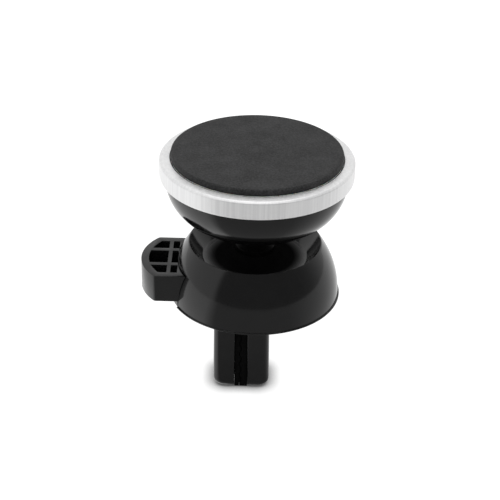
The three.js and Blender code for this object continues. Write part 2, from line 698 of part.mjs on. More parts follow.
{
  const bottom = splitZ + contactGap;
  const flangeTop = bottom + socketFlangeThickness;
  const flangeRadius = socketScrewCircle + screwHeadRadius;
  const inner = ballArc(socketInner, latitudeAtHeight(bottom, socketInner), 90, 7);
  const outer = ballArc(socketOuter, 90, latitudeAtHeight(flangeTop, socketOuter), 6);
  inner[inner.length - 1][0] = 0;
  outer[0][0] = 0;
  const outline = [...inner, ...outer, [flangeRadius, flangeTop], [flangeRadius, bottom]].reverse();
  let cap = turned(outline, ballFacets);
  bossAngles.forEach((angle, i) => {
    const [x, y] = atAngle(socketScrewCircle, angle);
    const passRadius = socketScrewRadius + screwPassGap;
    cap = cap.subtract(disc(passRadius, bottom - overrun, flangeTop + overrun, smallFacets, x, y));
    const screw = panScrew(socketScrewRadius, socketScrewLength, screwHeadRadius, screwHeadHeight);
    const seated = screw.rotate([180, 0, 0]).translate([x, y, flangeTop + contactGap]);
    addPart(`socket_screw_${i + 1}`, seated, steel());
  });
  addPart("socket_cap", cap, satinBlack());

  const linerInner = ballRadius + runGap;
  const linerOuter = linerInner + linerThickness;
  const lower = [
    ...ballArc(linerOuter, lowerLinerFrom, lowerLinerTo, 4),
    ...ballArc(linerInner, lowerLinerTo, lowerLinerFrom, 4),
  ];
  addPart("lower_ball_liner", turned(lower, ballFacets), nylon());
  const upperInner = ballArc(linerInner, 90, upperLinerFrom, 6);
  const upperOuter = ballArc(linerOuter, upperLinerFrom, 90, 6);
  upperInner[0][0] = 0;
  upperOuter[upperOuter.length - 1][0] = 0;
  addPart("upper_ball_liner", turned([...upperInner, ...upperOuter], ballFacets), nylon());
}

// ---- Magnets, their carrier and yoke, the face plate, pad and trim ring -------------------------------

{
  addPart("yoke_plate", disc(carrierRadius, yokeBottom, yokeTop, shellFacets), steel());
  const magnetBottom = yokeTop + contactGap;
  let carrier = disc(carrierRadius, magnetBottom, magnetTop, shellFacets);
  for (let i = 0; i < magnetCount; i += 1) {
    const [x, y] = atAngle(magnetPitchRadius, (360 / magnetCount) * (i + 0.5));
    const seat = disc(magnetRadius + magnetGap, yokeTop, magnetTop + overrun, boreFacets, x, y);
    carrier = carrier.subtract(seat);
    addPart(`magnet_${i + 1}`, disc(magnetRadius, magnetBottom, magnetTop, boreFacets, x, y), nickel());
  }
  addPart("magnet_carrier", carrier, satinBlack());
  const faceplateRadius = ringInnerRadius - faceplateGap;
  addPart("face_plate", disc(faceplateRadius, spigotTop, faceplateTop, shellFacets), satinBlack());
  addPart("pad_adhesive", disc(padRadius - adhesiveInset, faceplateTop, ringTopZ, shellFacets), foam());

  const chamfer = padEdgeRadius * (1 - Math.SQRT1_2);
  const pad = turned(
    [[0, ringTopZ], [padRadius, ringTopZ], [padRadius, padTop - padEdgeRadius],
      [padRadius - chamfer, padTop - chamfer], [padRadius - padEdgeRadius, padTop], [0, padTop]],
    shellFacets,
  );
  addPart("face_pad", pad, rubber());

  const seatRadius = spigotRadius + contactGap;
  const lipBottom = ringTopZ - ringLipThickness;
  const shoulderZ = ringTopZ - ringShoulderDrop;
  const trim = turned(
    [[seatRadius, ringBottomZ], [ringFootRadius, ringBottomZ], [ringRadius, shoulderZ - ringSideDrop],
      [ringRadius, shoulderZ], [ringRadius - ringShoulderInset, ringTopZ], [ringInnerRadius, ringTopZ],
      [ringInnerRadius, lipBottom], [seatRadius, lipBottom]],
    ringFacets,
  );
  addPart("trim_ring", trim, aluminium());
}

export default root;
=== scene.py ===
"""Magnetic air vent phone mount: fine surfaces, materials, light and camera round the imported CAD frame."""
import math

import bmesh
import bpy
from mathutils import Matrix, Vector


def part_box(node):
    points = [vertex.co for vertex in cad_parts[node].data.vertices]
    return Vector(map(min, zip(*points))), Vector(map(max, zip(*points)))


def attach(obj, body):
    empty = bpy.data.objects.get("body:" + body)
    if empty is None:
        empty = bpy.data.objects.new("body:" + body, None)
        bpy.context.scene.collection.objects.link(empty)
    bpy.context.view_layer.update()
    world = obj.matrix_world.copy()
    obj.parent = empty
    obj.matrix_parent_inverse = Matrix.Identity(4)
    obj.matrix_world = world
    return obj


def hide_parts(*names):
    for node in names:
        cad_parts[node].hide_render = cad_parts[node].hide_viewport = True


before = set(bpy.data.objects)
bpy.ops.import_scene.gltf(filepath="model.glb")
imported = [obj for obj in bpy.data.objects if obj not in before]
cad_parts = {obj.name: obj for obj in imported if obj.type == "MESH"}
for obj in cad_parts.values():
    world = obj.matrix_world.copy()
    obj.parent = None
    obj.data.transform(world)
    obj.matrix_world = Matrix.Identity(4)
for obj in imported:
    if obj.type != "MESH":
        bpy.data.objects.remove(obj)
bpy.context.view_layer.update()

MM = 0.001  # lengths below are in millimetres and become metres in the mesh builders

# ---- Sizes read from the CAD frame --------------------------------------------------------------------


def box_mm(node):
    low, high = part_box(node)
    return Vector(low) / MM, Vector(high) / MM


def middle_mm(node):
    low, high = box_mm(node)
    return (low.x + high.x) / 2, (low.y + high.y) / 2


dome_low, dome_high = box_mm("dome_housing")
bowl_low, bowl_high = box_mm("head_shell")
ring_low, ring_high = box_mm("trim_ring")
pad_low, pad_high = box_mm("face_pad")
lever_low = box_mm("release_lever")[0]
plate_high = box_mm("base_plate")[1]
stud_low, stud_high = box_mm("ball_stud")
pin_low, pin_high = box_mm("jaw_pivot_pin")
faceplate_low, faceplate_high = box_mm("face_plate")

# Heights above the dome's rim, walls and gaps, as in the CAD.
RIM = dome_low.z
LIP_RADIUS = dome_high.x
LIP_PROUD = 0.3
DOME_RADIUS = LIP_RADIUS - LIP_PROUD
LIP_HEIGHT = 0.35
MOUTH_RADIUS = 13.9
MOUTH_TOP = dome_high.z
DOME_WALL = 1.6
DECK_TOP = RIM + 8.4
DECK_UNDERSIDE = RIM + 6.4
PEDESTAL_TOP = DECK_TOP + 2.0
PEDESTAL_RADIUS = 4.6
PEDESTAL_FOOT = 6.0
BALL_RADIUS = stud_high.x
BALL_Z = stud_high.z - BALL_RADIUS
DISH_RADIUS = math.hypot(MOUTH_RADIUS, BALL_Z - MOUTH_TOP)
SLOT_GAP = 0.35
SCREW_HOLE = 0.88
STUD_BORE = 1.18
ARM_HALF = 4.8
EAR_INNER = 5.4
EAR_OUTER = 6.9
PLATE_TOP = RIM + 1.4
PLATE_BOTTOM = RIM - 0.4
PLATE_RADIUS = plate_high.x
TAB_WIDTH = 16.4
TAB_TOP = RIM + 7.45
TAB_BOTTOM = RIM + 1.4
TAB_INNER_END = -13.4
TAB_SWING_IN = 0.76
CLIP_DEPTH = 10.0
PIVOT = Vector(((pin_low.x + pin_high.x) / 2, 0, (pin_low.z + pin_high.z) / 2))
SCREW_PLACES = [middle_mm(f"base_screw_{number}") for number in (1, 2, 3)]
BOSS_PLACES = [middle_mm(f"socket_screw_{number}") for number in (1, 2, 3)]

FINE = 192  # segments round a large turned surface

# ---- Outlines -----------------------------------------------------------------------------------------


def rounded(corners, steps=5):
    """Corners (r, z, fillet radius) to points, each fillet an arc of so many steps."""
    points = []
    count = len(corners)
    for i, (x, z, fillet) in enumerate(corners):
        here = Vector((x, z))
        if fillet == 0 or i in (0, count - 1):
            points.append((x, z))
            continue
        back = Vector(corners[i - 1][:2]) - here
        on = Vector(corners[(i + 1) % count][:2]) - here
        half_angle = back.angle(on) / 2
        reach = min(fillet / math.tan(half_angle), 0.48 * back.length, 0.48 * on.length)
        radius = reach * math.tan(half_angle)
        centre = here + (back.normalized() + on.normalized()).normalized() * (radius / math.sin(half_angle))
        start = here + back.normalized() * reach - centre
        end = here + on.normalized() * reach - centre
        sweep = start.angle_signed(end)
        for k in range(steps + 1):
            turn = Matrix.Rotation(-sweep * k / steps, 2)
            points.append(tuple(centre + turn @ start))
    return points


def rounded_loop(corners, steps=5):
    """The same for a closed outline, every corner of it."""
    wrapped = [corners[-1], *corners, corners[0]]
    points = rounded(wrapped, steps)
    return points[1:-1]


def bezier(start, control, end, pieces):
    out = []
    for i in range(pieces + 1):
        t = i / pieces
        weights = ((1 - t) ** 2, 2 * t * (1 - t), t * t)
        out.append(tuple(sum(w * v for w, v in zip(weights, trio)) for trio in zip(start, control, end)))
    return out


def ball_arc(radius, first, last, pieces):
    """Points of a sphere about the ball's centre from one latitude to another, in degrees."""
    out = []
    for i in range(pieces + 1):
        latitude = math.radians(first + (last - first) * i / pieces)
        out.append((radius * math.cos(latitude), BALL_Z + radius * math.sin(latitude)))
    return out


def latitude_of_height(z, radius):
    return math.degrees(math.asin((z - BALL_Z) / radius))


# ---- Mesh builders ------------------------------------------------------------------------------------


def new_object(name, bm, smooth_angle=35):
    bmesh.ops.recalc_face_normals(bm, faces=bm.faces)
    mesh = bpy.data.meshes.new(name)
    bm.to_mesh(mesh)
    bm.free()
    mesh.shade_smooth()
    mesh.set_sharp_from_angle(angle=math.radians(smooth_angle))
    piece = bpy.data.objects.new(name, mesh)
    bpy.context.scene.collection.objects.link(piece)
    return piece


def turned(name, profile, segments=FINE, smooth_angle=35):
    """A profile of (radius, height) points turned about Z, from axis to axis or closed on itself."""
    bm = bmesh.new()
    rings = []
    for radius, height in profile:
        if radius < 1e-6:
            rings.append([bm.verts.new((0, 0, height * MM))])
            continue
        ring = []
        for k in range(segments):
            a = 2 * math.pi * k / segments
            ring.append(bm.verts.new((radius * math.cos(a) * MM, radius * math.sin(a) * MM, height * MM)))
        rings.append(ring)
    closed = profile[0][0] > 1e-6 or profile[-1][0] > 1e-6
    pairs = list(zip(rings, rings[1:]))
    if closed:
        pairs.append((rings[-1], rings[0]))
    for low, high in pairs:
        for k in range(segments):
            n = (k + 1) % segments
            corners = [low[k % len(low)], low[n % len(low)], high[n % len(high)], high[k % len(high)]]
            corners = list(dict.fromkeys(corners))
            if len(corners) > 2:
                bm.faces.new(corners)
    return new_object(name, bm, smooth_angle)


def extruded(name, outline, low, high, axis="z"):
    """A plan outline (x, y) raised along Z, or a front outline (x, z) carried along Y."""
    bm = bmesh.new()

    def place(u, v, w):
        return Vector((u, v, w)) * MM if axis == "z" else Vector((u, w, v)) * MM

    ends = [[bm.verts.new(place(u, v, w)) for u, v in outline] for w in (low, high)]
    for end in ends:
        bm.faces.new(end)
    count = len(outline)
    for k in range(count):
        n = (k + 1) % count
        bm.faces.new([ends[0][k], ends[0][n], ends[1][n], ends[1][k]])
    return new_object(name, bm)


def block(name, x0, x1, y0, y1, z0, z1):
    return extruded(name, [(x0, y0), (x1, y0), (x1, y1), (x0, y1)], z0, z1)


def circle(radius, u, v, segments):
    turns = [2 * math.pi * k / segments for k in range(segments)]
    return [(u + radius * math.cos(a), v + radius * math.sin(a)) for a in turns]


def bar(name, radius, x, y, z0, z1, segments=32):
    return extruded(name, circle(radius, x, y, segments), z0, z1)


def bar_along_y(name, radius, x, z, y0, y1, segments=48):
    return extruded(name, circle(radius, x, z, segments), y0, y1, axis="y")


def settle(piece):
    """Applies the piece's modifiers to its mesh."""
    graph = bpy.context.evaluated_depsgraph_get()
    mesh = bpy.data.meshes.new_from_object(piece.evaluated_get(graph))
    piece.modifiers.clear()
    piece.data = mesh


def combine(piece, others, operation):
    for other in others:
        step = piece.modifiers.new(operation, "BOOLEAN")
        step.operation = operation
        step.solver = "EXACT"
        step.object = other
        settle(piece)
        bpy.data.objects.remove(other)
    piece.data.shade_smooth()
    piece.data.set_sharp_from_angle(angle=math.radians(35))
    return piece


def cut(piece, *others):
    return combine(piece, others, "DIFFERENCE")


def join(piece, *others):
    return combine(piece, others, "UNION")


def keep_within(piece, *others):
    return combine(piece, others, "INTERSECT")


def bevelled(piece, width, segments=3, angle=40):
    step = piece.modifiers.new("bevel", "BEVEL")
    step.width = width * MM
    step.segments = segments
    step.limit_method = "ANGLE"
    step.angle_limit = math.radians(angle)
    step.use_clamp_overlap = True
    settle(piece)
    piece.data.shade_smooth()
    piece.data.set_sharp_from_angle(angle=math.radians(35))
    return piece


# ---- Materials ----------------------------------------------------------------------------------------


class Nodes:
    """A short way to write a node material."""

    def __init__(self, name, material=None):
        self.material = material or bpy.data.materials.new(name)
        self.material.use_nodes = True
        self.tree = self.material.node_tree
        self.shader = next(n for n in self.tree.nodes if n.type == "BSDF_PRINCIPLED")

    def node(self, kind, inputs=None, **settings):
        made = self.tree.nodes.new(kind)
        for key, value in settings.items():
            setattr(made, key, value)
        for key, value in (inputs or {}).items():
            if isinstance(value, bpy.types.NodeSocket):
                self.tree.links.new(value, made.inputs[key])
            else:
                made.inputs[key].default_value = value
        return made

    def maths(self, operation, a, b):
        return self.node("ShaderNodeMath", {0: a, 1: b}, operation=operation).outputs[0]

    def mix(self, factor, a, b):
        return self.node("ShaderNodeMix", {0: factor, 2: a, 3: b}, data_type="FLOAT").outputs[0]

    def place(self, scale=(1, 1, 1)):
        where = self.node("ShaderNodeTexCoord").outputs["Object"]
        return self.node("ShaderNodeMapping", {"Vector": where, "Scale": scale}).outputs["Vector"]

    def noise(self, scale, detail=3.0, stretch=(1, 1, 1), roughness=0.5):
        inputs = {"Vector": self.place(stretch), "Scale": scale, "Detail": detail, "Roughness": roughness}
        return self.node("ShaderNodeTexNoise", inputs).outputs["Fac"]

    def between(self, factor, low, high, start=0.3, end=0.7):
        inputs = {"Value": factor, "From Min": start, "From Max": end, "To Min": low, "To Max": high}
        return self.node("ShaderNodeMapRange", inputs).outputs["Result"]

    def tint(self, factor, dark, light, start=0.3, end=0.7):
        ramp = self.node("ShaderNodeValToRGB", {"Fac": factor})
        first, last = ramp.color_ramp.elements
        first.position, first.color = start, (*dark, 1)
        last.position, last.color = end, (*light, 1)
        return ramp.outputs["Color"]

    def bump(self, height, strength, distance, normal=None):
        inputs = {"Height": height, "Strength": strength, "Distance": distance}
        if normal is not None:
            inputs["Normal"] = normal
        return self.node("ShaderNodeBump", inputs).outputs["Normal"]

    def set(self, **values):
        for key, value in values.items():
            socket = self.shader.inputs[key.replace("_", " ")]
            if isinstance(value, bpy.types.NodeSocket):
                self.tree.links.new(value, socket)
            else:
                socket.default_value = value
        return self.material


def gloss_plastic(name, shade=0.0026, low=0.08, high=0.15):
    """Polished black moulding: faint waviness, a haze of fine wear, edges that catch the light."""
    n = Nodes(name)
    wave = n.noise(160, 2.0)
    haze = n.noise(2600, 4.0)
    edge = n.node("ShaderNodeBevel", {"Radius": 0.12 * MM}, samples=4).outputs["Normal"]
    surface = n.bump(wave, 0.05, 0.0004, edge)
    dark = (shade, shade, shade * 1.04)
    light = tuple(c * 1.5 for c in dark)
    return n.set(
        Base_Color=n.tint(n.noise(420), dark, light),
        Roughness=n.between(haze, low, high), Normal=surface, IOR=1.49,
    )


def dome_plastic_painted_dish_shade(name, painted_shade_radius, polished_radius):
    """The polished black moulding with painted shade down its dish: towards the axis it turns duller and
    nearly stops reflecting, so the dish reads dark as in shadow.
    """
    material = gloss_plastic(name)
    n = Nodes(name + "_hollow", material)
    split = n.node("ShaderNodeSeparateXYZ", {"Vector": n.place()}).outputs
    across = n.node("ShaderNodeCombineXYZ", {"X": split["X"], "Y": split["Y"]}).outputs["Vector"]
    radius = n.node("ShaderNodeVectorMath", {0: across}, operation="LENGTH").outputs["Value"]
    outside = n.between(radius, 0.0, 1.0, painted_shade_radius * MM, polished_radius * MM)
    sheen = n.shader.inputs["Roughness"].links[0].from_socket
    dull = n.mix(outside, 0.8, sheen)
    # painted shade: inside this radius the dish turns dull and its reflection drops to almost nothing
    # (specular 0.02), so it reads dark as in shadow
    return n.set(Roughness=dull, Specular_IOR_Level=n.between(outside, 0.02, 0.5, 0.0, 1.0))


def satin_plastic(name, shade=0.012, specular=0.5):
    n = Nodes(name)
    grain = n.noise(5200, 3.0)
    return n.set(
        Base_Color=n.tint(n.noise(700), (shade, shade, shade), (shade * 1.6, shade * 1.6, shade * 1.65)),
        Roughness=n.between(grain, 0.34, 0.5), Normal=n.bump(grain, 0.12, 0.00005),
        Specular_IOR_Level=specular,
    )


def rubber(name, dark, light, grain_size=5200, relief=0.35, specular=0.25, sheen=0.06):
    """Matte rubber with a fine grain and a slightly dusty bloom."""
    n = Nodes(name)
    grain = n.noise(grain_size, 4.0, roughness=0.65)
    patches = n.noise(240, 3.0)
    cells = n.node("ShaderNodeTexVoronoi", {"Vector": n.place(), "Scale": grain_size * 0.8})
    mixed = n.maths("ADD", grain, n.between(patches, -0.06, 0.06))
    surface = n.bump(cells.outputs["Distance"], relief * 0.5, 0.00004, n.bump(grain, relief, 0.00006))
    return n.set(
        Base_Color=n.tint(mixed, (dark, dark, dark * 1.03), (light, light, light * 1.02), 0.36, 0.66),
        Roughness=n.between(grain, 0.72, 0.9), Normal=surface, Specular_IOR_Level=specular,
        Sheen_Weight=sheen, Sheen_Roughness=0.5,
    )


def turned_metal(name, shade=0.86, low=0.22, high=0.34, streak=0.09):
    """Turned and clear-anodised aluminium: fine marks that run up the side, and rings on the shoulder."""
    n = Nodes(name)
    marks = n.noise(2400, 3.0, stretch=(1, 1, 0.02))
    broad = n.noise(260, 2.0, stretch=(1, 1, 0.05))
    rings = n.noise(5200, 2.0, stretch=(0.02, 0.02, 1))
    mixed = n.maths("ADD", marks, n.between(broad, -0.1, 0.1))
    surface = n.bump(rings, 0.05, 0.00002, n.bump(marks, 0.10, 0.00004))
    dark = shade - streak
    return n.set(
        Base_Color=n.tint(mixed, (dark, dark, dark * 1.004), (shade, shade, shade), 0.35, 0.65),
        Metallic=0.62, Roughness=n.between(marks, low, high), Normal=surface,
    )


def plated_metal(name, color, low=0.2, high=0.36):
    n = Nodes(name)
    marks = n.noise(1800, 3.0)
    paler = tuple(min(1, c * 1.15) for c in color)
    return n.set(
        Base_Color=n.tint(marks, color, paler), Metallic=1.0, Roughness=n.between(marks, low, high),
        Normal=n.bump(marks, 0.06, 0.00003),
    )


def translucent_plastic(name, dark, light):
    n = Nodes(name)
    return n.set(
        Base_Color=n.tint(n.noise(900), dark, light), Roughness=n.between(n.noise(3000), 0.4, 0.6),
        Subsurface_Weight=0.15, Subsurface_Scale=0.0006, Normal=n.bump(n.noise(4000), 0.08, 0.00004),
    )


gloss_black = gloss_plastic("gloss_black")
# the dome's own polished black, with painted shade in its dish out to 8.2 mm, fading out by 10.8 mm
dome_black = dome_plastic_painted_dish_shade("dome_black", 8.2, 10.8)
tab_black = gloss_plastic("tab_black", shade=0.0032, low=0.14, high=0.24)
satin_black = satin_plastic("satin_black")
pad_rubber = rubber("pad_rubber", 0.008, 0.036, grain_size=2900, relief=0.5)
grip_rubber = rubber("grip_rubber", 0.0012, 0.003, grain_size=3800, specular=0.05, sheen=0.0)
ring_metal = turned_metal("ring_aluminium", low=0.36, high=0.48)
# black plastic with painted shade: the stud's reflection is turned nearly off (specular 0.06), so it reads
# black as in shadow
stud_black_painted_shade = satin_plastic("stud_black_painted_shade", shade=0.002, specular=0.06)
steel = plated_metal("fastener_steel", (0.46, 0.46, 0.47))
nickel = plated_metal("magnet_nickel", (0.6, 0.59, 0.57), 0.12, 0.22)
nylon = translucent_plastic("liner_nylon", (0.62, 0.61, 0.56), (0.74, 0.73, 0.69))
foam_tape = translucent_plastic("foam_tape", (0.7, 0.69, 0.63), (0.8, 0.79, 0.75))


def give(piece, material):
    piece.data.materials.clear()
    piece.data.materials.append(material)


def stand_for(piece, node, body, material):
    """A finished piece: it rides on a body, stands for a CAD node and takes its material slot."""
    give(piece, material)
    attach(piece, body)
    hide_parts(node)
    return piece


# ---- Dome housing -------------------------------------------------------------------------------------

TAB_HALF = TAB_WIDTH / 2


def dome_profile():
    bell = bezier((DOME_RADIUS, RIM + LIP_HEIGHT), (17.85, RIM + 6.8), (MOUTH_RADIUS, MOUTH_TOP), 28)
    mouth_latitude = -math.degrees(math.acos(MOUTH_RADIUS / DISH_RADIUS))
    dish = ball_arc(DISH_RADIUS, mouth_latitude, latitude_of_height(DECK_TOP, DISH_RADIUS), 14)
    edge = rounded([(*bell[-2], 0), (*bell[-1], 0.28), (*dish[1], 0)], 6)
    floor_turn = rounded(
        [(*dish[-2], 0), (*dish[-1], 1.2), (PEDESTAL_FOOT, DECK_TOP, 0.9),
            (PEDESTAL_RADIUS, PEDESTAL_TOP, 0.3), (0, PEDESTAL_TOP, 0)], 6,
    )
    lip = rounded(
        [(DOME_RADIUS - DOME_WALL, RIM, 0), (LIP_RADIUS, RIM, 0.14), (LIP_RADIUS, RIM + LIP_HEIGHT, 0.16),
            (DOME_RADIUS, RIM + LIP_HEIGHT, 0.06), (*bell[1], 0)], 4,
    )
    wall = DISH_RADIUS + DOME_WALL
    under = ball_arc(wall, latitude_of_height(DECK_UNDERSIDE, wall), latitude_of_height(RIM + 8.6, wall), 8)
    inside = [(DOME_RADIUS - DOME_WALL - 1.1, RIM + 6.0), (DOME_RADIUS - DOME_WALL - 0.2, RIM + 3.0)]
    return [(0, DECK_UNDERSIDE), *under, *inside, *lip, *bell[2:-2], *edge, *dish[2:-2], *floor_turn]


def make_dome():
    dome = turned("dome_shell", dome_profile())
    bosses = [bar("boss", 1.9, x, y, PLATE_TOP + 0.05, RIM + 8.1) for x, y in SCREW_PLACES]
    join(dome, *bosses)
    grow = TAB_HALF + SLOT_GAP
    cutters = [block("slot", -30, TAB_INNER_END + 2, -grow, grow, RIM - 5, TAB_TOP + SLOT_GAP)]
    cutters += [bar("hole", SCREW_HOLE, x, y, PLATE_TOP - 1, PLATE_TOP + 5.2) for x, y in SCREW_PLACES]
    cutters.append(bar("recess", 3.0, 0, 0, RIM, DECK_UNDERSIDE + 1.6))
    cutters.append(bar("bore", STUD_BORE, 0, 0, RIM, PEDESTAL_TOP + 1))
    cut(dome, *cutters)
    return stand_for(dome, "dome_housing", "base", dome_black)


# ---- Jaws ---------------------------------------------------------------------------------------------

JAW_CORNER = 2.2
FIXED_JAW = (-3.8, -8.4)  # inner and outer face, in X
MOVING_JAW = (-1.3, 3.4)
JAW_LEAN = 0.4
JAW_EDGE = 1.6
JAW_INNER_EDGE = 0.3


def set_back(radius, z):
    """How far an edge of this radius stands back at a height above the tip."""
    return 0 if z >= radius else radius - math.sqrt(radius ** 2 - (radius - z) ** 2)


def make_jaw(name, inner, outer, lean, top):
    """A jaw built up from level sections, with a wide round outer corner at its tip and rounded edges."""
    side = 1 if outer > inner else -1
    steps = 8
    levels = {top}
    for radius in (JAW_INNER_EDGE, JAW_EDGE, JAW_CORNER):
        levels |= {round(radius * (1 - math.cos(math.pi / 2 * k / steps)), 4) for k in range(steps + 1)}
    bm = bmesh.new()
    rings = []
    for z in sorted(levels):
        near = inner + lean * (1 - z / top) + side * set_back(JAW_INNER_EDGE, z)
        width = abs(outer + lean * (1 - z / top) - near) - set_back(JAW_CORNER, z)
        half = CLIP_DEPTH / 2 - set_back(JAW_EDGE, z)
        corners = [(width, -half, JAW_EDGE, -90), (width, half, JAW_EDGE, 0), (0, half, JAW_INNER_EDGE, 90),
            (0, -half, JAW_INNER_EDGE, 180)]
        ring = []
        for u, v, radius, start in corners:
            centre_u = u - radius if u > 0 else radius
            centre_v = v - math.copysign(radius, v)
            for k in range(steps + 1):
                a = math.radians(start + 90 * k / steps)
                x = near + side * (centre_u + radius * math.cos(a))
                ring.append(bm.verts.new(Vector((x, centre_v + radius * math.sin(a), z)) * MM))
        rings.append(ring)
    bm.faces.new(rings[0])
    bm.faces.new(rings[-1])
    for low, high in zip(rings, rings[1:]):
        for k in range(len(low)):
            n = (k + 1) % len(low)
            bm.faces.new([low[k], low[n], high[n], high[k]])
    return new_object(name, bm)


def make_base_plate():
    half = CLIP_DEPTH / 2
    plate = turned("base_disc", rounded(
        [(0, PLATE_BOTTOM, 0), (PLATE_RADIUS, PLATE_BOTTOM, 0.25), (PLATE_RADIUS, PLATE_TOP, 0.15),
            (0, PLATE_TOP, 0)], 4,
    ))
    arm_clear = ARM_HALF + SLOT_GAP
    tab_clear = TAB_HALF + SLOT_GAP
    low, high = PLATE_BOTTOM - 1, PLATE_TOP + 1
    cutters = [
        block("arm_notch", -20, -9.2, -arm_clear, arm_clear, low, high),
        block("skirt_notch", -20, TAB_INNER_END + TAB_SWING_IN, -tab_clear, tab_clear, low, high),
        block("window", MOVING_JAW[0] - 0.3, 4.4, -half - 0.3, half + 0.3, low, high),
    ]
    for x, y in SCREW_PLACES:
        cutters.append(bar("through", 1.05, x, y, low, high))
        cutters.append(bar("sink", 1.9, x, y, low, PLATE_BOTTOM + 0.9))
    cut(plate, *cutters)
    jaw = make_jaw("fixed_jaw", *FIXED_JAW, 0, PLATE_TOP - 0.3)
    ears = []
    for sign in (-1, 1):
        y0, y1 = sorted((sign * EAR_INNER, sign * EAR_OUTER))
        ears.append(block("ear", PIVOT.x - 2, PIVOT.x + 2, y0, y1, PLATE_TOP - 0.5, PIVOT.z))
        ears.append(bar_along_y("ear_top", 2.0, PIVOT.x, PIVOT.z, y0, y1))
    join(plate, jaw, *ears)
    cut(plate, bar_along_y("pin_hole", 0.96, PIVOT.x, PIVOT.z, -10, 10))
    return stand_for(plate, "base_plate", "base", gloss_black)


# ---- Release lever ------------------------------------------------------------------------------------

TAB_REACH = -lever_low.x
TAB_END_RADIUS = 12.0
TAB_WALL = 1.6
TAB_FLOOR = 1.2
TAB_CORNER = 1.4
TAB_RIB = 0.8
TAB_RIB_FROM_END = 6.1
SECOND_POCKET = 1.4
MIDDLE_POCKET_HALF = 2.5
SIDE_POCKET_FROM = 3.55
SKIRT_WALL = 1.3
SKIRT_LAP = 0.6
ARM_BOTTOM = RIM + 3.5
ARM_TOP = RIM + 5.8
BOSS_RADIUS = 1.9


def tab_plan(inset, corner):
    """The tab's plan: straight sides and an arc for its outer end, drawn in from its edge by so much."""
    half = TAB_HALF - inset
    radius = TAB_END_RADIUS - inset
    centre = -TAB_REACH + TAB_END_RADIUS
    end_x = centre - math.sqrt(radius ** 2 - half ** 2)
    span = math.asin(half / radius)
    arc = []
    pieces = 24
    for k in range(1, pieces):
        a = math.pi - span + 2 * span * k / pieces
        arc.append((centre + radius * math.cos(a), radius * math.sin(a)))
    corners = [(TAB_INNER_END, -half, 0), (TAB_INNER_END, half, 0), (end_x, half, corner)]
    corners += [(x, y, 0) for x, y in arc]
    corners.append((end_x, -half, corner))
    return rounded_loop(corners, 6)


def make_tab():
    tab = extruded("tab", tab_plan(0, TAB_CORNER), TAB_BOTTOM, TAB_TOP)
    rib_from = -TAB_REACH + TAB_RIB_FROM_END - TAB_RIB / 2
    rib_to = rib_from + TAB_RIB
    columns = [(-TAB_REACH, rib_from), (rib_to, rib_to + SECOND_POCKET)]
    rows = [(-TAB_WIDTH, -SIDE_POCKET_FROM), (-MIDDLE_POCKET_HALF, MIDDLE_POCKET_HALF),
        (SIDE_POCKET_FROM, TAB_WIDTH)]
    cutters = []
    for x0, x1 in columns:
        for y0, y1 in rows:
            room = extruded("pocket", tab_plan(TAB_WALL, 0.3), TAB_BOTTOM + TAB_FLOOR, TAB_TOP + 1)
            cutters.append(keep_within(room, block("cell", x0, x1, y0, y1, TAB_BOTTOM, TAB_TOP + 1)))
    cut(tab, *cutters)
    return bevelled(tab, 0.24, 3)


def make_lever():
    lever = make_tab()
    skirt_top = TAB_BOTTOM + SKIRT_LAP
    skirt = turned("skirt", rounded_loop(
        [(DOME_RADIUS - SKIRT_WALL, RIM, 0.2), (DOME_RADIUS, RIM, 0.2), (DOME_RADIUS, skirt_top, 0),
            (DOME_RADIUS - SKIRT_WALL, skirt_top, 0)], 4,
    ))
    keep_within(skirt, block("sector", -24, TAB_INNER_END + 2, -TAB_HALF, TAB_HALF, RIM - 1, TAB_TOP))
    arm = block("arm", TAB_INNER_END - 0.5, PIVOT.x, -ARM_HALF, ARM_HALF, ARM_BOTTOM, ARM_TOP)
    boss = bar_along_y("boss", BOSS_RADIUS, PIVOT.x, PIVOT.z, -ARM_HALF, ARM_HALF)
    sides = (PIVOT.x - BOSS_RADIUS, PIVOT.x + BOSS_RADIUS, -ARM_HALF, ARM_HALF)
    shank = block("shank", *sides, RIM + 0.2, PIVOT.z)
    jaw = make_jaw("moving_jaw", *MOVING_JAW, JAW_LEAN, RIM + 0.6)
    join(lever, skirt, arm, boss, shank, jaw)
    cut(
        lever, bar_along_y("pin_hole", 1.02, PIVOT.x, PIVOT.z, -10, 10),
        block("spring_room", PIVOT.x - 2.3, PIVOT.x + 5, 1.1, 10, PIVOT.z - 2.5, RIM + 9),
    )
    return stand_for(lever, "release_lever", "lever", tab_black)


# ---- Rubber grip pads ---------------------------------------------------------------------------------


GRIP_TIP = 0.15


def make_grip(node, body):
    """A grip pad: the CAD pad's own outline, drawn down to the jaw's tip, with its edges rounded."""
    copy = bpy.data.objects.new(node + "_rubber", bpy.data.objects[node].data.copy())
    bpy.context.scene.collection.objects.link(copy)
    bm = bmesh.new()
    bm.from_mesh(copy.data)
    bmesh.ops.remove_doubles(bm, verts=bm.verts, dist=1e-6)
    bmesh.ops.dissolve_limit(bm, angle_limit=math.radians(1), verts=bm.verts, edges=bm.edges)
    low, high = (corner.z * MM for corner in box_mm(node))
    for corner in bm.verts:
        corner.co.z = high - (high - corner.co.z) * (high - GRIP_TIP * MM) / (high - low)
    bm.to_mesh(copy.data)
    bm.free()
    bevelled(copy, 0.12, 3, 25)
    return stand_for(copy, node, body, grip_rubber)


# ---- Head ---------------------------------------------------------------------------------------------

BOWL_BOTTOM = bowl_low.z
BOWL_TOP = RIM + 27.6
SOCKET_INNER = BALL_RADIUS + 0.84
SPIGOT_RADIUS = 18.6
SPIGOT_BORE = 17.1
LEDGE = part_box("yoke_plate")[0][2] / MM - 0.05
SPLIT = BALL_Z + 0.3
BOWL_RADIUS = 19.0  # at the top
BOWL_FOOT = 9.6
BOWL_FLOOR = BOWL_BOTTOM + 1.6
WELL_RADIUS = 7.94  # round the socket's cap


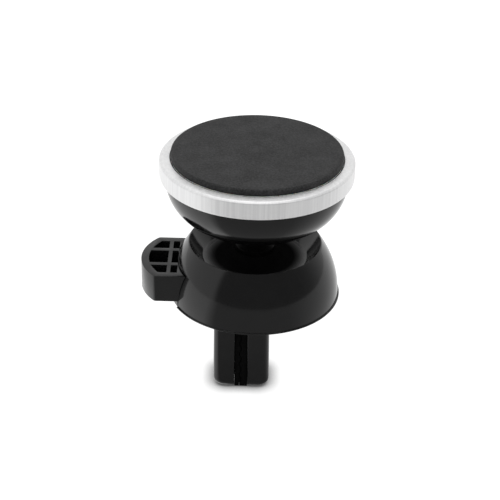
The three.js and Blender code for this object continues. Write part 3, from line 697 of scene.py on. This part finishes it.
def make_bowl():
    side = bezier((BOWL_FOOT, BOWL_BOTTOM), (18.4, RIM + 19.0), (BOWL_RADIUS, BOWL_TOP), 30)
    inside = bezier((SPIGOT_BORE - 1.0, LEDGE), (15.4, RIM + 19.8), (9.34, BOWL_FLOOR), 14)
    upper = latitude_of_height(SPLIT, SOCKET_INNER)
    lower = latitude_of_height(BOWL_BOTTOM, SOCKET_INNER)
    socket = ball_arc(SOCKET_INNER, upper, lower, 14)
    mouth = rounded([(*socket[-2], 0), (*socket[-1], 0.2), (*side[0], 0.9), (*side[1], 0)], 5)
    top = rounded(
        [(*side[-2], 0), (BOWL_RADIUS, BOWL_TOP, 0.12), (SPIGOT_RADIUS, BOWL_TOP, 0),
            (SPIGOT_RADIUS, bowl_high.z, 0.1), (SPIGOT_BORE, bowl_high.z, 0.1), (SPIGOT_BORE, LEDGE, 0),
            (*inside[0], 0)], 4,
    )
    well = [(WELL_RADIUS, BOWL_FLOOR), (WELL_RADIUS, SPLIT)]
    profile = [*mouth[1:-1], *side[2:-2], *top, *inside[1:], *well, *socket[:-2]]
    bowl = turned("head_bowl", profile)
    join(bowl, *[bar("boss", 1.6, x, y, BOWL_BOTTOM + 1.2, SPLIT) for x, y in BOSS_PLACES])
    cut(bowl, *[bar("hole", SCREW_HOLE, x, y, SPLIT - 2.4, SPLIT + 1) for x, y in BOSS_PLACES])
    return stand_for(bowl, "head_shell", "head", gloss_black)


PAD_RADIUS = pad_high.x - 0.3
PAD_GAP = 0.25


def make_ring():
    outer = ring_high.x
    top, bottom = ring_high.z, ring_low.z
    inner, seat = PAD_RADIUS + PAD_GAP, 18.65
    profile = rounded_loop([
        (seat, bottom, 0), (outer - 0.1, bottom, 0.15), (outer, bottom + 0.55, 0.4),
        (outer, top - 0.5, 0.35),
        (19.5, top - 0.12, 0.25), (inner, top, 0.04), (inner, top - 0.1, 0), (inner + 0.3, top - 0.1, 0),
        (inner + 0.3, top - 0.8, 0), (seat, top - 0.8, 0),
    ], 6)
    ring = turned("trim_ring_fine", profile, 256)
    return stand_for(ring, "trim_ring", "head", ring_metal)


def make_face_pad():
    radius, low, top = PAD_RADIUS, pad_low.z, pad_high.z
    edge = rounded([(0, low, 0), (radius, low, 0.08), (radius, top, 0.42), (0, top, 0)], 8)
    inner = [(radius * k / 12, low) for k in range(12)]
    outer = [(radius * k / 12, top) for k in range(11, -1, -1)]
    pad = turned("face_pad_rubber", [*inner, *edge[1:-1], *outer])
    return stand_for(pad, "face_pad", "head", pad_rubber)


STUD_FOOT = 4.2
STUD_NECK = 2.6


def make_stud():
    foot = stud_low.z
    neck_latitude = -math.degrees(math.acos(STUD_NECK / BALL_RADIUS))
    ball = ball_arc(BALL_RADIUS, neck_latitude, 90, 30)
    ball[-1] = (0, ball[-1][1])
    stem = rounded(
        [(STUD_BORE, foot, 0), (STUD_FOOT, foot, 0.1), (STUD_FOOT, foot + 0.9, 0.25),
            (STUD_NECK, foot + 1.8, 0.8), (*ball[0], 0.5), (*ball[2], 0)], 5,
    )
    bore_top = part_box("stud_screw")[1][2] / MM + 0.5
    profile = [(0, bore_top), (STUD_BORE, bore_top), *stem, *ball[3:]]
    stud = turned("ball_stud_fine", profile, 96)
    return stand_for(stud, "ball_stud", "base", stud_black_painted_shade)


def make_face_plate():
    radius, low, top = faceplate_high.x, faceplate_low.z, faceplate_high.z
    profile = rounded([(0, low, 0), (radius, low, 0.08), (radius, top, 0.1), (0, top, 0)], 3)
    plate = turned("face_plate_fine", profile)
    return stand_for(plate, "face_plate", "head", satin_black)


# ---- Screws -------------------------------------------------------------------------------------------


def make_screw(node, body, head_down=True):
    """A pan-head screw in the CAD screw's box, with a domed head, a cross recess and a threaded shank."""
    low, high = box_mm(node)
    x, y = (low.x + high.x) / 2, (low.y + high.y) / 2
    head_radius = (high.x - low.x) / 2
    length = high.z - low.z
    shank, head = (1.1, 1.2) if node == "stud_screw" else (0.8, 0.8)
    profile = rounded([
        (0, 0, 0), (head_radius * 0.72, 0, head * 0.5), (head_radius, head * 0.55, head * 0.3),
        (head_radius, head, 0.06),
        (shank * 0.82, head, 0.1), (shank * 0.82, head + 0.3, 0),
    ], 4)
    pitch = 0.36
    turns = int((length - head - 0.9) / pitch)
    for k in range(turns):
        z = head + 0.3 + pitch * k
        profile += [(shank * 0.82, z + 0.02), (shank, z + pitch * 0.4), (shank, z + pitch * 0.6)]
    profile += [(shank * 0.8, length - 0.5), (shank * 0.4, length), (0, length)]
    screw = turned(node + "_fine", profile, 40)
    arm, wide, depth = head_radius * 0.55, head_radius * 0.14, head * 0.5
    cut(
        screw, block("slot", -arm, arm, -wide, wide, -0.5, depth),
        block("slot", -wide, wide, -arm, arm, -0.5, depth),
    )
    if head_down:
        place = Matrix.Translation(Vector((x, y, low.z)) * MM)
    else:
        place = Matrix.Translation(Vector((x, y, high.z)) * MM) @ Matrix.Rotation(math.pi, 4, "X")
    screw.data.transform(place)
    return stand_for(screw, node, body, steel)


make_dome()
make_base_plate()
make_lever()
make_grip("fixed_jaw_pad", "base")
make_grip("moving_jaw_pad", "lever")
make_bowl()
make_ring()
make_face_pad()
make_face_plate()
make_stud()
for number in (1, 2, 3):
    make_screw(f"base_screw_{number}", "base")
    make_screw(f"socket_screw_{number}", "head", head_down=False)
make_screw("stud_screw", "base")

# ---- CAD nodes that stay: they get their material -----------------------------------------------------

KEPT = {
    steel: ["stud_washer", "jaw_pivot_pin", "torsion_spring", "yoke_plate"],
    satin_black: ["socket_cap", "magnet_carrier"],
    nylon: ["lower_ball_liner", "upper_ball_liner"],
    nickel: ["magnet_1", "magnet_2", "magnet_3", "magnet_4"],
    foam_tape: ["pad_adhesive"],
}
for material, names in KEPT.items():
    for name in names:
        for slot in bpy.data.objects[name].material_slots:
            slot.material = material

# ---- Floor, light and camera --------------------------------------------------------------------------

# The studio's reflection: bearings from the camera's side and elevations, in degrees, and strengths.
LEFT_EDGE = (-60, -46)
RIGHT_EDGE = (48, 165)
ALOFT_EDGE = (58, 72)
CAMERA_SIDE = 0.216
WHITE = 0.8

# The floor's: bearings, distances from the middle and strengths.
FLOOR_LEFT_EDGE = (-60, -46)
FLOOR_RIGHT_EDGE = (45, 140)
FLOOR_NEAR = 0.16  # ahead of the object, close by and further off
FLOOR_FAR = 0.18
FLOOR_ROUND = 0.88
FLOOR_REACH = (40, 160)
FLOOR_SEEN = 0.93  # to the camera
FLOOR_UNDER = 0.05  # in the contact shadow
# reach of the painted contact shadow, in millimetres
FLOOR_CONTACT = 3.5


def make_floor():
    """White paper. It glows white to the camera, with a painted contact shadow that dims its glow close
    under the object, and its reflection is dark ahead of the object.
    """
    bm = bmesh.new()
    bmesh.ops.create_grid(bm, x_segments=1, y_segments=1, size=1.5)
    floor = new_object("floor", bm)
    n = Nodes("floor_paper")
    here = n.place()
    split = n.node("ShaderNodeSeparateXYZ", {"Vector": here})
    toward = n.maths("MULTIPLY", split.outputs["Y"], -1.0)
    bearing = n.maths("ARCTAN2", split.outputs["X"], toward)
    away = n.node("ShaderNodeVectorMath", {0: here}, operation="LENGTH").outputs["Value"]
    ahead = n.between(away, FLOOR_NEAR, FLOOR_FAR, *[d * MM for d in FLOOR_REACH])
    left = n.between(bearing, 1.0, 0.0, *[math.radians(a) for a in FLOOR_LEFT_EDGE])
    right = n.between(bearing, 0.0, 1.0, *[math.radians(a) for a in FLOOR_RIGHT_EDGE])
    aside = n.maths("MAXIMUM", left, right)
    mirrored = n.mix(aside, ahead, FLOOR_ROUND)
    # painted contact shadow: where the ambient occlusion is low, close under the object, the glow is dimmed
    openness = n.node("ShaderNodeAmbientOcclusion", {"Distance": FLOOR_CONTACT * MM}, samples=16)
    seen_glow_painted_shadow = n.between(openness.outputs["AO"], FLOOR_UNDER, FLOOR_SEEN, 0.35, 0.95)
    paths = n.node("ShaderNodeLightPath").outputs
    plain = n.maths("MAXIMUM", paths["Is Camera Ray"], paths["Is Diffuse Ray"])
    glow = n.mix(plain, mirrored, seen_glow_painted_shadow)
    n.set(
        Base_Color=n.tint(n.noise(900), (0.20, 0.20, 0.20), (0.22, 0.22, 0.22)), Roughness=0.95,
        Specular_IOR_Level=0.0, Emission_Color=(1, 1, 1, 1), Emission_Strength=glow,
    )
    floor.data.materials.append(n.material)


def make_world():
    """A white studio. Its reflection is dark ahead of the object, with a closer edge at the left."""
    world = bpy.data.worlds.new("studio")
    bpy.context.scene.world = world
    world.use_nodes = True
    tree = world.node_tree
    tree.nodes.clear()
    link = tree.links.new

    def made(kind, inputs=(), **settings):
        node = tree.nodes.new(kind)
        for key, value in settings.items():
            setattr(node, key, value)
        for key, value in inputs:
            if isinstance(value, bpy.types.NodeSocket):
                link(value, node.inputs[key])
            else:
                node.inputs[key].default_value = value
        return node

    def ranged(value, low, high, start, end):
        names = ("Value", "From Min", "From Max", "To Min", "To Max")
        inputs = list(zip(names, (value, low, high, start, end)))
        return made("ShaderNodeMapRange", inputs, interpolation_type="SMOOTHSTEP").outputs["Result"]

    def maths(operation, a, b):
        return made("ShaderNodeMath", [(0, a), (1, b)], operation=operation).outputs[0]

    where = made("ShaderNodeTexCoord").outputs["Generated"]
    split = made("ShaderNodeSeparateXYZ", [(0, where)])
    toward = maths("MULTIPLY", split.outputs["Y"], -1.0)
    bearing = maths("ARCTAN2", split.outputs["X"], toward)
    left = ranged(bearing, *[math.radians(a) for a in LEFT_EDGE], 1.0, 0.0)
    right = ranged(bearing, *[math.radians(a) for a in RIGHT_EDGE], 0.0, 1.0)
    aloft = ranged(split.outputs["Z"], *[math.sin(math.radians(a)) for a in ALOFT_EDGE], 0.0, 1.0)
    lit = maths("MAXIMUM", maths("MAXIMUM", left, right), aloft)
    strength = ranged(lit, 0.0, 1.0, CAMERA_SIDE, WHITE)
    paths = made("ShaderNodeLightPath").outputs
    plain = maths("MAXIMUM", paths["Is Camera Ray"], paths["Is Diffuse Ray"])
    backdrop = made("ShaderNodeMix", [(0, plain), (2, strength), (3, 1.0)], data_type="FLOAT")
    shade = made("ShaderNodeBackground", [("Color", (1, 1, 1, 1)), ("Strength", backdrop.outputs[0])])
    made("ShaderNodeOutputWorld", [(0, shade.outputs[0])])


def make_light(name, place, aim, size, power):
    data = bpy.data.lights.new(name, "AREA")
    data.shape = "RECTANGLE"
    data.size = size
    data.size_y = size
    data.energy = power
    light = bpy.data.objects.new(name, data)
    light.location = place
    light.rotation_euler = (Vector(aim) - Vector(place)).to_track_quat("-Z", "Y").to_euler()
    bpy.context.scene.collection.objects.link(light)


CAMERA_DISTANCE = 0.300  # to the centre of the dome's rim
CAMERA_ELEVATION = 31.5
CAMERA_LENS = 100.66
CAMERA_ROLL = 1.5
RIM_RIGHT = 0.00279  # where that centre stands in the view, as slopes from the view's axis
RIM_BELOW = 0.02768


def make_camera():
    data = bpy.data.cameras.new("camera")
    data.lens = CAMERA_LENS
    data.sensor_width = 36
    data.clip_start = 0.01
    data.clip_end = 10
    camera = bpy.data.objects.new("camera", data)
    bpy.context.scene.collection.objects.link(camera)
    elevation = math.radians(CAMERA_ELEVATION)
    centre = Vector((0, 0, RIM * MM))
    camera.location = centre + CAMERA_DISTANCE * Vector((0, -math.cos(elevation), math.sin(elevation)))
    look = (centre - camera.location).to_track_quat("-Z", "Y")
    roll = Matrix.Rotation(math.radians(CAMERA_ROLL), 3, "Z").to_quaternion()
    aside = Vector((RIM_RIGHT, -RIM_BELOW, -1)).rotation_difference(Vector((0, 0, -1)))
    camera.rotation_mode = "QUATERNION"
    camera.rotation_quaternion = look @ roll @ aside
    bpy.context.scene.camera = camera


make_floor()
make_world()
make_light("overhead", (0.0, 0.10, 0.75), (0, 0, 0.03), 0.5, 1.2)
make_camera()
bpy.context.scene.view_settings.view_transform = "Standard"
